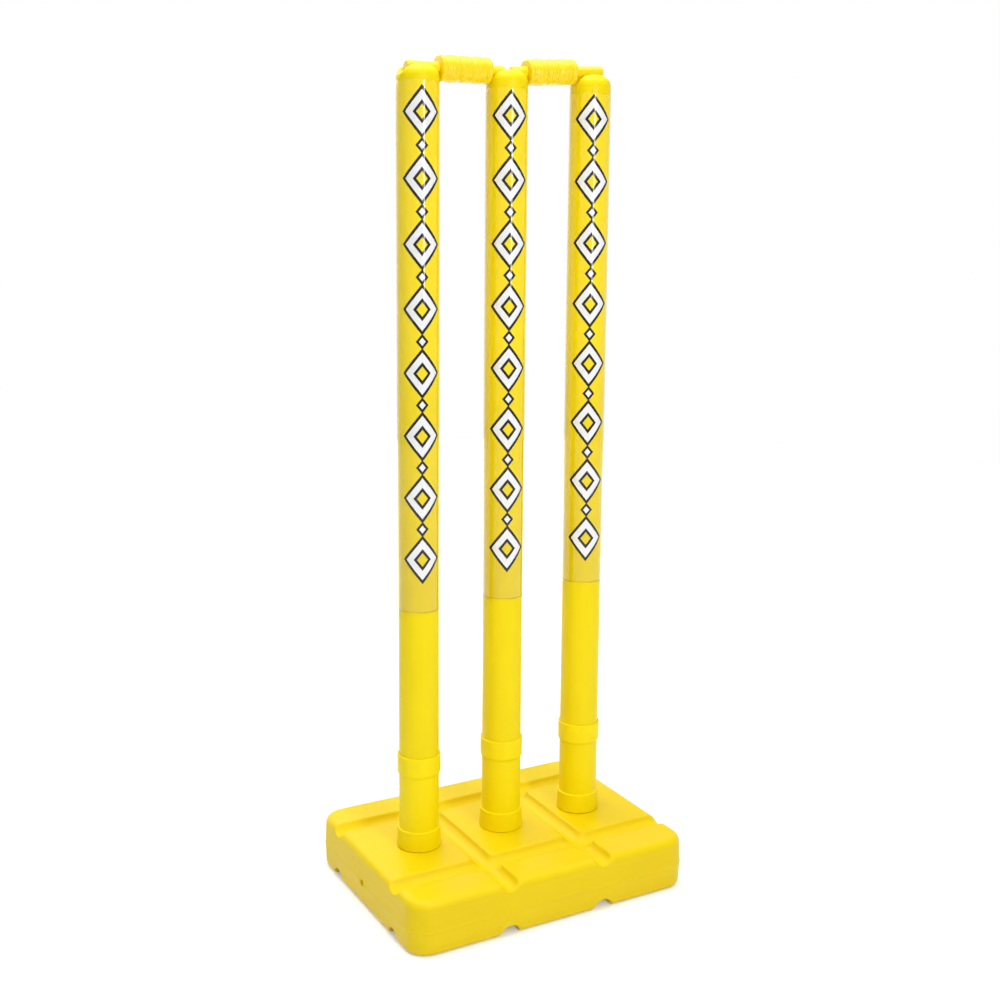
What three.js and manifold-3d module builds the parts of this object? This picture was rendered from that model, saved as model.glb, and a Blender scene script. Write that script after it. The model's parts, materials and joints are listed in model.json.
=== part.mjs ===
// Free-standing cricket stumps: a hollow moulded base, three two-part stumps with film sleeves, and two bails.
// Millimetres, +Z up, X along the wicket, the bowler's side towards -Y.
// The origin is the middle of the base's underside.
import * as THREE from 'three'
import { mergeVertices } from 'three/addons/utils/BufferGeometryUtils.js'
import Module from 'manifold-3d'

const wasm = await Module()
wasm.setup()

// Base: its margins round the stumps are taken at the parting line
const BASE_END_MARGIN = 39.35
const BASE_SIDE_MARGIN = 91.35
const BASE_HEIGHT = 50.5
const BASE_CORNER_RADIUS = 22
const BASE_TOP_FILLET = 7
const BASE_BOTTOM_FILLET = 6
const BASE_DRAFT_INSET = 1.3
const BASE_WALL = 3
const PARTING_LINE_HEIGHT = 23.5

// Drain grooves moulded into both faces of the base
const LONG_GROOVE_OFFSET = 63
const CROSS_GROOVE_OFFSET = 49.5
const TOP_GROOVE_WIDTH = 19
const TOP_GROOVE_DEPTH = 7.5
const BOTTOM_GROOVE_WIDTH = 21
const BOTTOM_GROOVE_DEPTH = 9.5

// Blow hole on the parting line of the left end
const BLOW_HOLE_DIAMETER = 5.5
const BLOW_HOLE_OFFSET = 2

// Stumps
const STUMP_SPACING = 88
const STUMP_DIAMETER = 37.3
const STUMP_HEIGHT = 713.2
const STUMP_WALL = 2.6
const DOME_CROWN = 1.2
const DOME_EDGE_RADIUS = 10
const PLUG_LENGTH = 30

// Feet: a spigot in the base's well, a ring on the base, a short tube and a bell collar
const SPIGOT_DIAMETER = 34.4
const SPIGOT_LENGTH = 34
const FOOT_RING_HEIGHT = 18.6
const FOOT_RING_DIAMETER = 41.4
const FOOT_RING_TOP_DIAMETER = 40
const FOOT_RING_ROUND = 0.9
const COLLAR_START_HEIGHT = 71.3
const COLLAR_TOP_HEIGHT = 91
const COLLAR_DIAMETER = 40.4
const COLLAR_TAPER_LENGTH = 2.2
const COLLAR_STEP = 0.4
const COLLAR_LIP_ROUND = 0.7
const BELL_DEPTH = 17.5

// Printed film sleeves: their ends above the base top, left to right
const SLEEVE_THICKNESS = 0.3
const SLEEVE_BOTTOM_HEIGHTS = [230.5, 231.7, 236.3]
const SLEEVE_TOP_HEIGHTS = [698.1, 696.1, 694.8]

// Bails: a turned barrel with a long spigot outside and a short one on the middle stump
const BAIL_SPIGOT_DIAMETER = 10.6
const BAIL_SPIGOT_ROUND = 1.5
const LONG_SPIGOT_LENGTH = 30.6
const SHORT_SPIGOT_LENGTH = 15
const BAIL_AXIS_BELOW_DOME = 2.9
const BARREL_END_GAP = 0.3
const BARREL_WAIST_DIAMETER = 21.2
const BARREL_BULGE_DIAMETER = 23.4
const BARREL_BEAD_DIAMETER = 23
const BARREL_RING_DIAMETER = 22.8
const BARREL_RING_WIDTH = 7
const BARREL_RING_ROUND = 2
const BARREL_BEAD_HALF_WIDTH = 4
const BARREL_WAIST_WIDTH = 1.6
const RIGHT_BAIL_RISE = 3.6

// Fits between pieces
const SLIDING_CLEARANCE = 0.15
const WELL_CLEARANCE = 0.25
const SLEEVE_CLEARANCE = 0.1
const SEAT_GAP = 0.3
const BAIL_GROOVE_CLEARANCE = 0.3
const CUT_OVERRUN = 5

// Facets
const TUBE_SEGMENTS = 24
const BAIL_SEGMENTS = 16
const GROOVE_SEGMENTS = 20
const CORNER_STEPS = 4
const FILLET_STEPS = 3
const DOME_STEPS = 4
const HOLE_SEGMENTS = 12

// Radii and heights that several pieces share
const stumpRadius = STUMP_DIAMETER / 2
const boreRadius = stumpRadius - STUMP_WALL
const baseLength = 2 * (STUMP_SPACING + stumpRadius + BASE_END_MARGIN)
const baseWidth = 2 * (stumpRadius + BASE_SIDE_MARGIN)
const baseTop = BASE_HEIGHT
const domeTop = baseTop + STUMP_HEIGHT
const bellFloor = baseTop + COLLAR_TOP_HEIGHT - BELL_DEPTH
const bailAxisHeight = domeTop - BAIL_AXIS_BELOW_DOME
const bailSpigotRadius = BAIL_SPIGOT_DIAMETER / 2
const bailGrooveRadius = bailSpigotRadius + BAIL_GROOVE_CLEARANCE
const barrelLength = STUMP_SPACING - STUMP_DIAMETER - 2 * BARREL_END_GAP

// Plastics, coloured as the set is
const plastic = (color, roughness) => new THREE.MeshStandardMaterial({ color, roughness, metalness: 0 })
const basePlastic = () => plastic('#fbdc12', 0.45)
const tubePlastic = () => plastic('#f7de18', 0.4)
const sleeveFilm = () => plastic('#f2d833', 0.2)
const bailPlastic = () => plastic('#fde61c', 0.42)

const part = new THREE.Group()

function addPiece(parent, name, geometry, material) {
  geometry.computeVertexNormals()
  const piece = new THREE.Mesh(geometry, material)
  piece.name = name
  parent.add(piece)
  return piece
}

// Solids for cutting and joining
function toSolid(geometry) {
  const bare = geometry.clone()
  bare.deleteAttribute('normal')
  bare.deleteAttribute('uv')
  const merged = mergeVertices(bare)
  const mesh = new wasm.Mesh({
    numProp: 3,
    vertProperties: new Float32Array(merged.getAttribute('position').array),
    triVerts: new Uint32Array(merged.index.array),
  })
  return new wasm.Manifold(mesh)
}

function toGeometry(solid) {
  const mesh = solid.getMesh()
  const geometry = new THREE.BufferGeometry()
  geometry.setAttribute('position', new THREE.BufferAttribute(mesh.vertProperties, 3))
  geometry.setIndex(new THREE.BufferAttribute(mesh.triVerts, 1))
  return geometry
}

// A turned solid about Z from [radius, height] points
function turned(profile, segments) {
  const geometry = new THREE.LatheGeometry(profile.map(([r, z]) => new THREE.Vector2(r, z)), segments)
  return geometry.rotateX(Math.PI / 2)
}

// Points of an arc from one angle to another, as [radius, height] pairs
function arc(centreRadius, centreHeight, radius, fromAngle, toAngle, steps) {
  return Array.from({ length: steps + 1 }, (_, i) => {
    const angle = fromAngle + (toAngle - fromAngle) * (i / steps)
    return [centreRadius + radius * Math.cos(angle), centreHeight + radius * Math.sin(angle)]
  })
}

// One rounded-rectangle outline of the base at a height, drawn in from the parting line by an inset
function baseOutline(inset, height) {
  const halfLength = baseLength / 2 - BASE_CORNER_RADIUS
  const halfWidth = baseWidth / 2 - BASE_CORNER_RADIUS
  const radius = BASE_CORNER_RADIUS - inset
  const corners = [[1, 1], [-1, 1], [-1, -1], [1, -1]]
  return corners.flatMap(([sx, sy], quarter) =>
    arc(sx * halfLength, sy * halfWidth, radius, quarter * Math.PI / 2, (quarter + 1) * Math.PI / 2, CORNER_STEPS)
      .map(([x, y]) => new THREE.Vector3(x, y, height)))
}

// How far the drafted side lies inside the parting line at a height
function draftInset(height) {
  const reach = height < PARTING_LINE_HEIGHT ? PARTING_LINE_HEIGHT : BASE_HEIGHT - PARTING_LINE_HEIGHT
  return BASE_DRAFT_INSET * Math.abs(height - PARTING_LINE_HEIGHT) / reach
}

// The base's rounded block, or its cavity when a wall is taken off all round
function baseBlock(wall) {
  const bottomFillet = BASE_BOTTOM_FILLET - wall
  const topFillet = BASE_TOP_FILLET - wall
  const low = wall
  const high = BASE_HEIGHT - wall
  const outlines = []
  for (let i = 0; i <= FILLET_STEPS; i++) {
    const turn = (i / FILLET_STEPS) * Math.PI / 2
    const height = low + bottomFillet * (1 - Math.cos(turn))
    outlines.push(baseOutline(wall + draftInset(height) + bottomFillet * (1 - Math.sin(turn)), height))
  }
  outlines.push(baseOutline(wall, PARTING_LINE_HEIGHT))
  for (let i = 0; i <= FILLET_STEPS; i++) {
    const turn = (1 - i / FILLET_STEPS) * Math.PI / 2
    const height = high - topFillet * (1 - Math.cos(turn))
    outlines.push(baseOutline(wall + draftInset(height) + topFillet * (1 - Math.sin(turn)), height))
  }
  return loft(outlines)
}

// A closed skin over outlines of equal point counts, with a flat fan at each end
function loft(outlines) {
  const count = outlines[0].length
  const positions = outlines.flat().flatMap((point) => point.toArray())
  const index = []
  for (let ring = 0; ring + 1 < outlines.length; ring++) {
    for (let i = 0; i < count; i++) {
      const a = ring * count + i
      const b = ring * count + (i + 1) % count
      index.push(a, b, b + count, a, b + count, a + count)
    }
  }
  const last = (outlines.length - 1) * count
  for (let i = 1; i + 1 < count; i++) {
    index.push(0, i + 1, i)
    index.push(last, last + i, last + i + 1)
  }
  const geometry = new THREE.BufferGeometry()
  geometry.setAttribute('position', new THREE.Float32BufferAttribute(positions, 3))
  geometry.setIndex(index)
  return geometry
}

// Round-bottomed grooves across one face of the base, grown by a wall for the cavity's side of them
function grooveCutters(width, depth, faceHeight, outward, wall) {
  const radius = ((width / 2) ** 2 + depth ** 2) / (2 * depth)
  const axisHeight = faceHeight + outward * (radius - depth)
  const bar = (length) => new THREE.CylinderGeometry(radius + wall, radius + wall, length, GROOVE_SEGMENTS)
  const along = (y) => toSolid(bar(baseLength + CUT_OVERRUN).rotateZ(Math.PI / 2).translate(0, y, axisHeight))
  const across = (x) => toSolid(bar(baseWidth + CUT_OVERRUN).translate(x, 0, axisHeight))
  return along(-LONG_GROOVE_OFFSET)
    .add(along(LONG_GROOVE_OFFSET))
    .add(across(-CROSS_GROOVE_OFFSET))
    .add(across(CROSS_GROOVE_OFFSET))
}

function allGrooves(wall) {
  const top = grooveCutters(TOP_GROOVE_WIDTH, TOP_GROOVE_DEPTH, BASE_HEIGHT, 1, wall)
  const bottom = grooveCutters(BOTTOM_GROOVE_WIDTH, BOTTOM_GROOVE_DEPTH, 0, -1, wall)
  return top.add(bottom)
}

// A blind well for each foot's spigot, or the cup of wall round it
function wells(wall) {
  const floor = baseTop - SPIGOT_LENGTH - SEAT_GAP - wall
  const radius = SPIGOT_DIAMETER / 2 + WELL_CLEARANCE + wall
  const profile = [[0, floor], [radius, floor], [radius, baseTop + CUT_OVERRUN], [0, baseTop + CUT_OVERRUN]]
  const well = (x) => toSolid(turned(profile, TUBE_SEGMENTS).translate(x, 0, 0))
  return well(-STUMP_SPACING).add(well(0)).add(well(STUMP_SPACING))
}

// Base: blow-moulded shell with grooves, wells and the blow hole into its cavity
function buildBase() {
  const holeLength = 2 * (BASE_WALL + BASE_DRAFT_INSET + CUT_OVERRUN)
  const hole = new THREE.CylinderGeometry(BLOW_HOLE_DIAMETER / 2, BLOW_HOLE_DIAMETER / 2, holeLength, HOLE_SEGMENTS)
  hole.rotateZ(Math.PI / 2).translate(-baseLength / 2, BLOW_HOLE_OFFSET, PARTING_LINE_HEIGHT)
  const cavity = toSolid(baseBlock(BASE_WALL)).subtract(allGrooves(BASE_WALL)).subtract(wells(BASE_WALL))
  const shell = toSolid(baseBlock(0)).subtract(allGrooves(0)).subtract(wells(0)).subtract(cavity)
  return toGeometry(shell.subtract(toSolid(hole)))
}

// Foot: one turned wall, from the spigot's open end up the outside and down the bore
function buildFoot() {
  const ringTop = baseTop + FOOT_RING_HEIGHT
  const ringTopRadius = FOOT_RING_TOP_DIAMETER / 2
  const collarRadius = COLLAR_DIAMETER / 2
  const collarStart = baseTop + COLLAR_START_HEIGHT
  const collarTop = baseTop + COLLAR_TOP_HEIGHT
  const spigotRadius = SPIGOT_DIAMETER / 2
  const spigotEnd = baseTop - SPIGOT_LENGTH
  const bellRadius = stumpRadius + SLIDING_CLEARANCE
  const spigotBore = spigotRadius - STUMP_WALL
  const profile = [
    [spigotBore, spigotEnd],
    [spigotRadius, spigotEnd],
    [spigotRadius, baseTop + SEAT_GAP],
    [FOOT_RING_DIAMETER / 2, baseTop + SEAT_GAP],
    ...arc(ringTopRadius - FOOT_RING_ROUND, ringTop - FOOT_RING_ROUND, FOOT_RING_ROUND, 0, Math.PI / 2, 2),
    [stumpRadius, ringTop],
    [stumpRadius, collarStart],
    [stumpRadius + COLLAR_STEP, collarStart],
    [collarRadius, collarStart + COLLAR_TAPER_LENGTH],
    ...arc(collarRadius - COLLAR_LIP_ROUND, collarTop - COLLAR_LIP_ROUND, COLLAR_LIP_ROUND, 0, Math.PI / 2, 2),
    [bellRadius, collarTop],
    [bellRadius, bellFloor],
    [boreRadius, bellFloor],
    [boreRadius, baseTop],
    [spigotBore, baseTop - STUMP_WALL],
    [spigotBore, spigotEnd],
  ]
  return turned(profile, TUBE_SEGMENTS)
}

// Stump tube: a plug in the foot's bore, a shoulder in its bell, a long wall and a domed top with a bail groove
function buildStump() {
  const shoulder = bellFloor + SEAT_GAP
  const plugEnd = shoulder - PLUG_LENGTH
  const plugRadius = boreRadius - SLIDING_CLEARANCE
  const plugBore = plugRadius - STUMP_WALL
  const domeEdgeCentre = stumpRadius - DOME_EDGE_RADIUS
  const domeEdgeHeight = domeTop - DOME_CROWN - DOME_EDGE_RADIUS
  const grooveFloor = bailAxisHeight - bailGrooveRadius
  const ceiling = grooveFloor - STUMP_WALL
  const profile = [
    [plugBore, plugEnd],
    [plugRadius, plugEnd],
    [plugRadius, shoulder],
    [stumpRadius, shoulder],
    ...arc(domeEdgeCentre, domeEdgeHeight, DOME_EDGE_RADIUS, 0, Math.PI / 2, DOME_STEPS),
    [0, domeTop],
    [0, ceiling],
    [domeEdgeCentre, ceiling],
    [boreRadius, domeEdgeHeight],
    [boreRadius, shoulder + STUMP_WALL],
    [plugBore, shoulder],
    [plugBore, plugEnd],
  ]
  const grooveLength = STUMP_DIAMETER + CUT_OVERRUN
  const grooveHeight = BAIL_AXIS_BELOW_DOME + CUT_OVERRUN
  const round = new THREE.CylinderGeometry(bailGrooveRadius, bailGrooveRadius, grooveLength, BAIL_SEGMENTS)
  round.rotateZ(Math.PI / 2).translate(0, 0, bailAxisHeight)
  const mouth = new THREE.BoxGeometry(grooveLength, 2 * bailGrooveRadius, grooveHeight)
  mouth.translate(0, 0, bailAxisHeight + grooveHeight / 2)
  return toGeometry(toSolid(turned(profile, TUBE_SEGMENTS)).subtract(toSolid(round).add(toSolid(mouth))))
}

// Sleeve: a thin tube of printed film round the stump
function buildSleeve(bottomHeight, topHeight) {
  const inner = stumpRadius + SLEEVE_CLEARANCE
  const outer = inner + SLEEVE_THICKNESS
  const low = baseTop + bottomHeight
  const high = baseTop + topHeight
  return turned([[inner, low], [outer, low], [outer, high], [inner, high], [inner, low]], TUBE_SEGMENTS)
}

// Bail along +X, its long spigot towards +X, with x = 0 at the barrel's middle
function buildBail() {
  const half = barrelLength / 2
  const ring = BARREL_RING_DIAMETER / 2
  const waist = BARREL_WAIST_DIAMETER / 2
  const bulge = BARREL_BULGE_DIAMETER / 2
  const bead = BARREL_BEAD_DIAMETER / 2
  const ringStart = half - BARREL_RING_WIDTH
  const bulgeStart = BARREL_BEAD_HALF_WIDTH + BARREL_WAIST_WIDTH
  const bulgeEnd = ringStart - BARREL_WAIST_WIDTH
  const bulgeMiddle = (bulgeStart + bulgeEnd) / 2
  const bulgeShoulder = (bulgeEnd - bulgeStart) / 3
  const halfBarrel = [
    [bead, 0],
    [(bead + waist) / 2, BARREL_BEAD_HALF_WIDTH],
    [waist, bulgeStart],
    [(waist + bulge) / 2, bulgeMiddle - bulgeShoulder],
    [bulge, bulgeMiddle],
    [(waist + bulge) / 2, bulgeMiddle + bulgeShoulder],
    [waist, bulgeEnd],
    [waist, ringStart],
    [ring, ringStart + BARREL_WAIST_WIDTH],
    ...arc(ring - BARREL_RING_ROUND, half - BARREL_RING_ROUND, BARREL_RING_ROUND, 0, Math.PI / 2, 3),
    [bailSpigotRadius, half],
  ]
  const spigotEnd = (length) =>
    arc(bailSpigotRadius - BAIL_SPIGOT_ROUND, half + length - BAIL_SPIGOT_ROUND, BAIL_SPIGOT_ROUND, 0, Math.PI / 2, 2)
  const mirrored = (points) => points.map(([r, x]) => [r, -x]).reverse()
  const profile = [
    [0, -half - SHORT_SPIGOT_LENGTH],
    ...mirrored(spigotEnd(SHORT_SPIGOT_LENGTH)),
    ...mirrored(halfBarrel).slice(0, -1),
    ...halfBarrel,
    ...spigotEnd(LONG_SPIGOT_LENGTH),
    [0, half + LONG_SPIGOT_LENGTH],
  ]
  return turned(profile, BAIL_SEGMENTS).rotateY(Math.PI / 2)
}

addPiece(part, 'base', buildBase(), basePlastic())

const sides = ['left', 'middle', 'right']
sides.forEach((side, i) => {
  const station = new THREE.Group()
  station.position.x = (i - 1) * STUMP_SPACING
  addPiece(station, `foot_${side}`, buildFoot(), tubePlastic())
  addPiece(station, `stump_${side}`, buildStump(), tubePlastic())
  addPiece(station, `sleeve_${side}`, buildSleeve(SLEEVE_BOTTOM_HEIGHTS[i], SLEEVE_TOP_HEIGHTS[i]), sleeveFilm())
  part.add(station)
})

// The left bail lies level in both grooves
const leftBail = addPiece(part, 'bail_left', buildBail(), bailPlastic())
leftBail.rotation.z = Math.PI
leftBail.position.set(-STUMP_SPACING / 2, 0, bailAxisHeight)

// The right bail's outer end is raised in its groove, turned up about the short spigot's end.
// That swings the barrel's lower edges outwards, so it is moved in by half as much.
const tipToMiddle = barrelLength / 2 + SHORT_SPIGOT_LENGTH
const lean = Math.asin(RIGHT_BAIL_RISE / (tipToMiddle + barrelLength / 2))
const swing = BARREL_RING_DIAMETER / 2 * Math.sin(lean)
const rightSeat = new THREE.Group()
rightSeat.position.set(STUMP_SPACING / 2 - tipToMiddle - swing / 2, 0, bailAxisHeight)
rightSeat.rotation.y = -lean
const rightBail = addPiece(rightSeat, 'bail_right', buildBail(), bailPlastic())
rightBail.position.x = tipToMiddle
part.add(rightSeat)

export default part
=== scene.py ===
"""Free-standing cricket stumps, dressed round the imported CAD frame.

The part's own frame: +Z up, X along the wicket, the bowler's side towards -Y.
Lengths and places are in millimetres unless a name or comment says metres, and MM turns them
to metres.
"""
import json
from math import asin, atan2, cos, hypot, pi, radians, sin, sqrt, tan

import bpy
import numpy as np
from mathutils import Matrix, Vector


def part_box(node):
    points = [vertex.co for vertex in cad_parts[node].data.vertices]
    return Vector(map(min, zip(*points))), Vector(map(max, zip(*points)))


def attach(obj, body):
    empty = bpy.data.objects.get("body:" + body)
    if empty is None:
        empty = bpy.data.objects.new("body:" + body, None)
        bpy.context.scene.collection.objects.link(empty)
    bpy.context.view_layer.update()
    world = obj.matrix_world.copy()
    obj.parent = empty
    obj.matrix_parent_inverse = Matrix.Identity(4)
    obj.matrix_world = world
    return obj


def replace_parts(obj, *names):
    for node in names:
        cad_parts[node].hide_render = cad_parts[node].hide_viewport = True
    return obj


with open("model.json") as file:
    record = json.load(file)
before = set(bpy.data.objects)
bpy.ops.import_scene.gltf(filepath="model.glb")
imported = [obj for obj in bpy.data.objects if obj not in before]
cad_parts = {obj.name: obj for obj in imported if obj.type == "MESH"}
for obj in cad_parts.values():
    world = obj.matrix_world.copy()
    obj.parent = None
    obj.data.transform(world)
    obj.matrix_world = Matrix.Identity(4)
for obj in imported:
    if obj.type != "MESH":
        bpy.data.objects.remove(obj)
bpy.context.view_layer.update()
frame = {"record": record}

MM = 0.001
BODIES = frame["record"]["behaviour"]["bodies"]
NODE_BODY = {node: body for body, nodes in BODIES.items() for node in nodes}

# Base
BASE_LENGTH, BASE_WIDTH, BASE_HEIGHT = 292, 220, 50.5
CORNER_RADIUS, TOP_FILLET, BOTTOM_FILLET = 22, 7, 6
# Half the straight length and width between the round corners
CORE_LENGTH, CORE_WIDTH = BASE_LENGTH / 2 - CORNER_RADIUS, BASE_WIDTH / 2 - CORNER_RADIUS
DRAFT_INSET, PARTING_HEIGHT = 1.3, 23.5
RIDGE_HEIGHT, RIDGE_WIDTH = 0.28, 0.6
# What the walls sink in short waves, in long waves and everywhere, and over what height above the
# lower fillet the waves grow
SHORT_SINK, LONG_SINK, EVEN_SINK, SINK_START = 0.16, 0.12, 0.1, 10
DENT_MIDDLE, DENT_REACH, DENT_DEPTH = (-146, 24, 40), (4, 2.2, 2.2), 0.9
WELL_RADIUS, WELL_FLOOR, WELL_LIP = 17.45, 16.2, 1.0

# Channels of the base: how far the long and the cross ones lie from the middle, and their sizes
LONG_CHANNEL, CROSS_CHANNEL = 63, 49.5
TOP_CHANNEL_WIDTH, TOP_CHANNEL_DEPTH, TOP_CHANNEL_LIP = 19, 7.5, 1.8
BOTTOM_CHANNEL_WIDTH, BOTTOM_CHANNEL_DEPTH, BOTTOM_CHANNEL_LIP = 21, 9.5, 1.2
CROSSING_ROUND = 6

# Blow hole in the base's left end, and the rim that the blow pin raised round it
BLOW_HOLE_RADIUS, BLOW_HOLE_Y, BLOW_HOLE_DEPTH, BLOW_HOLE_LIP = 2.75, 2, 12, 0.7
RIM_RADIUS, RIM_WIDTH, RIM_HEIGHT = 4.0, 0.7, 0.45
RIM_FADES_FROM, RIM_FADES_OVER = -130, 10  # along x, so that no rim shows at the right end

# Stumps and their sleeves
STUMPS = {"left": -88, "middle": 0, "right": 88}  # where each stands along X
TUBE_RADIUS, BORE_RADIUS = 18.65, 16.05
DOME_TOP, DOME_EDGE_RADIUS, DOME_CROWN_RADIUS, DOME_CEILING = 763.7, 10, 41.8, 752.6
CROWN_CENTRE, DOME_EDGE = DOME_TOP - DOME_CROWN_RADIUS, TUBE_RADIUS - DOME_EDGE_RADIUS
CROWN_LEAN = asin(DOME_EDGE / (DOME_CROWN_RADIUS - DOME_EDGE_RADIUS))
EDGE_CENTRE = CROWN_CENTRE + (DOME_CROWN_RADIUS - DOME_EDGE_RADIUS) * cos(CROWN_LEAN)
BAIL_AXIS, GROOVE_RADIUS, GROOVE_LIP = 760.8, 5.6, 3.4
SHOULDER, PLUG_END, PLUG_RADIUS, PLUG_BORE = 124.3, 94.3, 15.9, 13.3
FILM_INNER, FILM_OUTER = 18.75, 19.05

# Bails
BARREL_HALF, RING_RADIUS = 25.05, 11.4
SPIGOT_RADIUS, SPIGOT_ROUND, SPIGOT_ROOT = 5.3, 1.5, 0.5
LONG_SPIGOT, SHORT_SPIGOT = 30.6, 15
RIGHT_BAIL_RISE = 3.6


def set_camera():
    """The photograph's view, as fitted to it: the place in metres, the turn and the lens."""
    turn, down, lean = radians(29.23), radians(9.67), radians(0.482)
    ahead = Vector((sin(turn) * cos(down), cos(turn) * cos(down), -sin(down)))
    right = Vector((cos(turn), -sin(turn), 0))
    up = right.cross(ahead)
    right, up = cos(lean) * right + sin(lean) * up, cos(lean) * up - sin(lean) * right
    lens = bpy.data.cameras.new("photo_view")
    lens.sensor_fit, lens.sensor_width, lens.lens = "HORIZONTAL", 36, 49.26
    lens.shift_y = -0.0628
    camera = bpy.data.objects.new("photo_view", lens)
    place = Matrix.Translation((-0.6144, -1.0905, 0.6455))
    camera.matrix_world = place @ Matrix((right, up, -ahead)).transposed().to_4x4()
    bpy.context.collection.objects.link(camera)
    bpy.context.scene.camera = camera


# Finishes
def linear(code):
    """An sRGB hex colour as the linear colour that shaders take."""
    parts = [int(code[i : i + 2], 16) / 255 for i in (1, 3, 5)]
    return (*[c / 12.92 if c <= 0.04045 else ((c + 0.055) / 1.055) ** 2.4 for c in parts], 1)


def add(tree, kind, sockets=None, **settings):
    """Adds a node. sockets gives each input its number or colour, or the output that feeds it.

    Inputs that share a name are called by number: a colour mix takes its share at 0 and its two
    colours at 6 and 7, and gives the mixed colour at 2.
    """
    node = tree.nodes.new(kind)
    for name, value in settings.items():
        setattr(node, name, value)
    for name, value in (sockets or {}).items():
        if isinstance(value, bpy.types.NodeSocket):
            tree.links.new(value, node.inputs[name])
        else:
            node.inputs[name].default_value = value
    return node.outputs


def new_finish(name):
    """A material with an empty tree, and its pieces' coordinates in metres."""
    material = bpy.data.materials.new(name)
    material.use_nodes = True
    tree = material.node_tree
    tree.nodes.clear()
    return material, tree, add(tree, "ShaderNodeTexCoord")["Object"]


# Noise gathers round its middle, so its range from low to high is stretched over a whole pattern
NOISE_LOW, NOISE_HIGH = 0.3, 0.7
STREAK_SHARE = 0.35  # how much of the streaks' yellow shows at most
# Each plastic's two yellows and its streaks' yellow, and the width in millimetres of its clouds, of
# its streaks, which are drawn out along x, y and z, and of the tooth of its mould. Real tooth is
# 0.1 to 0.3 mm wide, and so are the lines that a die or a lathe leaves. A pixel is about 0.9 mm
# here, so these are too fine to show and are drawn as coarse as they need to.
PLASTICS = {
    # Blown against a cold mould: satin, drawn out sideways where the parison stretched, with a fine
    # orange peel. The eye sees a soft, even glow with faint clouds and no sharp reflections.
    "base": dict(
        name="blow_moulded_polyethylene",
        yellow="#EBCD00", other_yellow="#E8C900", streak_yellow="#EED204",
        cloud_size=70, streak_size=9, drawn_out=(0.12, 1, 1), tooth_size=1.6,
        streak_depth=0.05, tooth_depth=0.02, least_rough=0.38, most_rough=0.48, specular=0.2),
    # Injection-moulded: the finest, most even satin of all. The eye sees clean rings and collars
    # with a soft light side and hardly a highlight.
    "foot": dict(
        name="injection_moulded_polyethylene",
        yellow="#FCE502", other_yellow="#F9E100", streak_yellow="#FEE906",
        cloud_size=30, streak_size=6, drawn_out=(1, 1, 0.3), tooth_size=0.9,
        streak_depth=0.02, tooth_depth=0.008, least_rough=0.38, most_rough=0.48, specular=0.17),
    # Pushed out of a ring die: smoother than the base, with faint lines along the tube. The eye
    # sees one broad, soft band of light down each tube.
    "tube": dict(
        name="extruded_polyethylene_tube",
        yellow="#F6DD02", other_yellow="#F3DA00", streak_yellow="#F9E206",
        cloud_size=45, streak_size=1.4, drawn_out=(1, 1, 0.015), tooth_size=1.2,
        streak_depth=0.012, tooth_depth=0.006, least_rough=0.36, most_rough=0.46, specular=0.17),
    # Injection-moulded too, in a mould cut on a lathe, so fine rings run round the barrel. The eye
    # sees the shiniest of the plastics, its light broken up from ring to ring.
    "bail": dict(
        name="turned_mould_polyethylene",
        yellow="#FADB00", other_yellow="#F8D700", streak_yellow="#FCE004",
        cloud_size=25, streak_size=1.1, drawn_out=(1, 0.1, 0.1), tooth_size=0.9,
        streak_depth=0.02, tooth_depth=0.008, least_rough=0.24, most_rough=0.32, specular=0.36),
}


def solid_plastic(name, yellow, other_yellow, streak_yellow, cloud_size, streak_size, drawn_out,
                  tooth_size, streak_depth, tooth_depth, least_rough, most_rough, specular):
    """Solid-coloured yellow polyethylene, as PLASTICS describes it."""
    material, tree, where = new_finish(name)
    clouds = add(tree, "ShaderNodeTexNoise", {
        "Vector": where, "Scale": 1 / (cloud_size * MM), "Roughness": 0.45})
    along = add(tree, "ShaderNodeMapping", {"Vector": where, "Scale": drawn_out})
    streaks = add(tree, "ShaderNodeTexNoise", {
        "Vector": along["Vector"], "Scale": 1 / (streak_size * MM)})
    tooth = add(tree, "ShaderNodeTexNoise", {"Vector": where, "Scale": 1 / (tooth_size * MM)})
    cloudy = add(tree, "ShaderNodeMapRange", {
        "Value": clouds[0], "From Min": NOISE_LOW, "From Max": NOISE_HIGH})
    streaky = add(tree, "ShaderNodeMapRange", {
        "Value": streaks[0], "From Min": NOISE_LOW, "From Max": NOISE_HIGH,
        "To Max": STREAK_SHARE})
    uneven = add(tree, "ShaderNodeMapRange", {
        "Value": streaks[0], "From Min": NOISE_LOW, "From Max": NOISE_HIGH,
        "To Min": least_rough, "To Max": most_rough})
    cloud_mix = add(tree, "ShaderNodeMix", {
        0: cloudy[0], 6: linear(yellow), 7: linear(other_yellow)}, data_type="RGBA")
    colour = add(tree, "ShaderNodeMix", {
        0: streaky[0], 6: cloud_mix[2], 7: linear(streak_yellow)}, data_type="RGBA")
    waves = add(tree, "ShaderNodeBump", {"Height": streaks[0], "Distance": streak_depth * MM})
    grain = add(tree, "ShaderNodeBump", {
        "Height": tooth[0], "Distance": tooth_depth * MM, "Normal": waves[0]})
    shader = add(tree, "ShaderNodeBsdfPrincipled", {
        "Base Color": colour[2], "Roughness": uneven[0], "Normal": grain[0],
        "IOR": 1.51,  # polyethylene
        "Specular IOR Level": specular})
    add(tree, "ShaderNodeOutputMaterial", {"Surface": shader[0]})
    return material


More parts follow.
